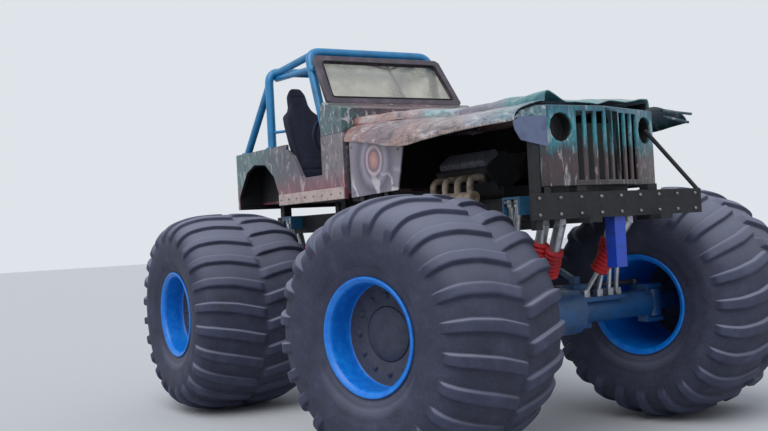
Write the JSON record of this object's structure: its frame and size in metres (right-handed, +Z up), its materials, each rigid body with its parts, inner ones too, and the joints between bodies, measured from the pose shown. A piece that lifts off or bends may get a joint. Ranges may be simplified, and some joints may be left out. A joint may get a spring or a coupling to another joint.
{
  "type": "monster truck",
  "caption": "Monster truck: small open four-by-four body and roll cage on a boxed frame, four steered oversize lugged tyres on deep blue rims, crumpled front sheet metal.",
  "frame": {"origin": "on the ground, at the middle of the overall length and width", "axes": "+X forward, +Y to the truck's left, +Z up"},
  "size_m": [4.7602, 3.6892, 3.0364],
  "materials": {
    "tyre": "worn and dusty",
    "rim": "gloss cyan-blue enamel",
    "hub": "dark grey, dusty",
    "axle": "teal-blue enamel, dirty",
    "frame": "black, satin",
    "steel": "machined",
    "chrome": "polished",
    "upright": "royal-blue enamel",
    "boot": "red, moulded",
    "bracket": "teal-blue enamel",
    "body": "airbrushed mottled colours",
    "bonnet": "airbrushed, crumpled",
    "cream": "cream enamel",
    "dark": "black",
    "screen": "dark purple-black enamel",
    "glass": "dusty",
    "grille": "teal enamel",
    "cage": "teal-blue enamel",
    "seat": "black covering on a shell",
    "engine": "dark, oily",
    "alloy": "fins, dull",
    "pipe": "pale heat-stained"
  },
  "bodies": {
    "chassis": {"axle_front": "axle", "axle_rear": "axle", "body_mounts": "frame", "bonnet": "bonnet", "boots_front": "boot", "boots_rear": "boot", "cowl": "dark", "driveshaft_front": "steel", "driveshaft_rear": "steel", "engine": "engine", "exhaust_headers": "pipe", "fender_left": "bonnet", "fender_right": "bonnet", "frame": "frame", "front_cross_panel": "frame", "front_upright": "upright", "fuel_cell": "dark", "grille": "grille", "lamp_buckets": "dark", "links_front": "axle", "links_rear": "axle", "radiator": "alloy", "rocker_strips": "cream", "roll_cage": "cage", "seat": "seat", "shock_mounts_front": "bracket", "shock_mounts_rear": "bracket", "shocks_front": "chrome", "shocks_rear": "chrome", "side_panels": "body", "steering_wheel": "dark", "transfer_case": "alloy", "transmission": "alloy", "tub": "body", "wheel_houses": "body", "windscreen_frame": "screen", "windscreen_glass": "glass"},
    "wheel_front_left": {"hub_front_left": "hub", "rim_front_left": "rim", "tyre_front_left": "tyre"},
    "wheel_front_right": {"hub_front_right": "hub", "rim_front_right": "rim", "tyre_front_right": "tyre"},
    "wheel_rear_left": {"hub_rear_left": "hub", "rim_rear_left": "rim", "tyre_rear_left": "tyre"},
    "wheel_rear_right": {"hub_rear_right": "hub", "rim_rear_right": "rim", "tyre_rear_right": "tyre"},
    "knuckle_front_left": {"knuckle_front_left": "axle"},
    "knuckle_front_right": {"knuckle_front_right": "axle"},
    "knuckle_rear_left": {"knuckle_rear_left": "axle"},
    "knuckle_rear_right": {"knuckle_rear_right": "axle"},
    "tie_rod_front": {"tie_rod_front": "steel"},
    "tie_rod_rear": {"tie_rod_rear": "steel"}
  },
  "joints": [
    {"name": "steer_front", "type": "hinge", "parent": "chassis", "child": "knuckle_front_right", "pos_m": [1.43512, -0.91, 0.83681], "axis": [0, 0, 1], "range_deg": [-40.5, 7.5]},
    {"name": "spin_front_right", "type": "hinge", "parent": "knuckle_front_right", "child": "wheel_front_right", "pos_m": [1.50896, -1.15929, 0.83681], "axis": [-0.284, 0.9588, 0], "continuous": true},
    {"name": "steer_front_left", "type": "hinge", "parent": "chassis", "child": "knuckle_front_left", "pos_m": [1.43512, 0.91, 0.83681], "axis": [0, 0, 1], "range_deg": [-40.5, 7.5]},
    {"name": "spin_front_left", "type": "hinge", "parent": "knuckle_front_left", "child": "wheel_front_left", "pos_m": [1.36127, 1.15929, 0.83681], "axis": [-0.284, 0.9588, 0], "continuous": true},
    {"name": "tie_rod_front_turn", "type": "hinge", "parent": "knuckle_front_right", "child": "tie_rod_front", "pos_m": [1.30088, -0.94976, 0.98681], "axis": [0, 0, 1], "range_deg": [-7.5, 40.5]},
    {"name": "steer_rear", "type": "hinge", "parent": "chassis", "child": "knuckle_rear_right", "pos_m": [-1.54488, -0.91, 0.83681], "axis": [0, 0, 1], "range_deg": [-20, 20]},
    {"name": "spin_rear_right", "type": "hinge", "parent": "knuckle_rear_right", "child": "wheel_rear_right", "pos_m": [-1.54488, -1.17, 0.83681], "axis": [0, 1, 0], "continuous": true},
    {"name": "steer_rear_left", "type": "hinge", "parent": "chassis", "child": "knuckle_rear_left", "pos_m": [-1.54488, 0.91, 0.83681], "axis": [0, 0, 1], "range_deg": [-20, 20]},
    {"name": "spin_rear_left", "type": "hinge", "parent": "knuckle_rear_left", "child": "wheel_rear_left", "pos_m": [-1.54488, 1.17, 0.83681], "axis": [0, 1, 0], "continuous": true},
    {"name": "tie_rod_rear_turn", "type": "hinge", "parent": "knuckle_rear_right", "child": "tie_rod_rear", "pos_m": [-1.40488, -0.91, 0.98681], "axis": [0, 0, 1], "range_deg": [-20, 20]}
  ],
  "couplings": [
    {"joint": "steer_front_left", "follows": "steer_front", "ratio": 1},
    {"joint": "tie_rod_front_turn", "follows": "steer_front", "ratio": -1},
    {"joint": "steer_rear_left", "follows": "steer_rear", "ratio": 1},
    {"joint": "tie_rod_rear_turn", "follows": "steer_rear", "ratio": -1}
  ]
}
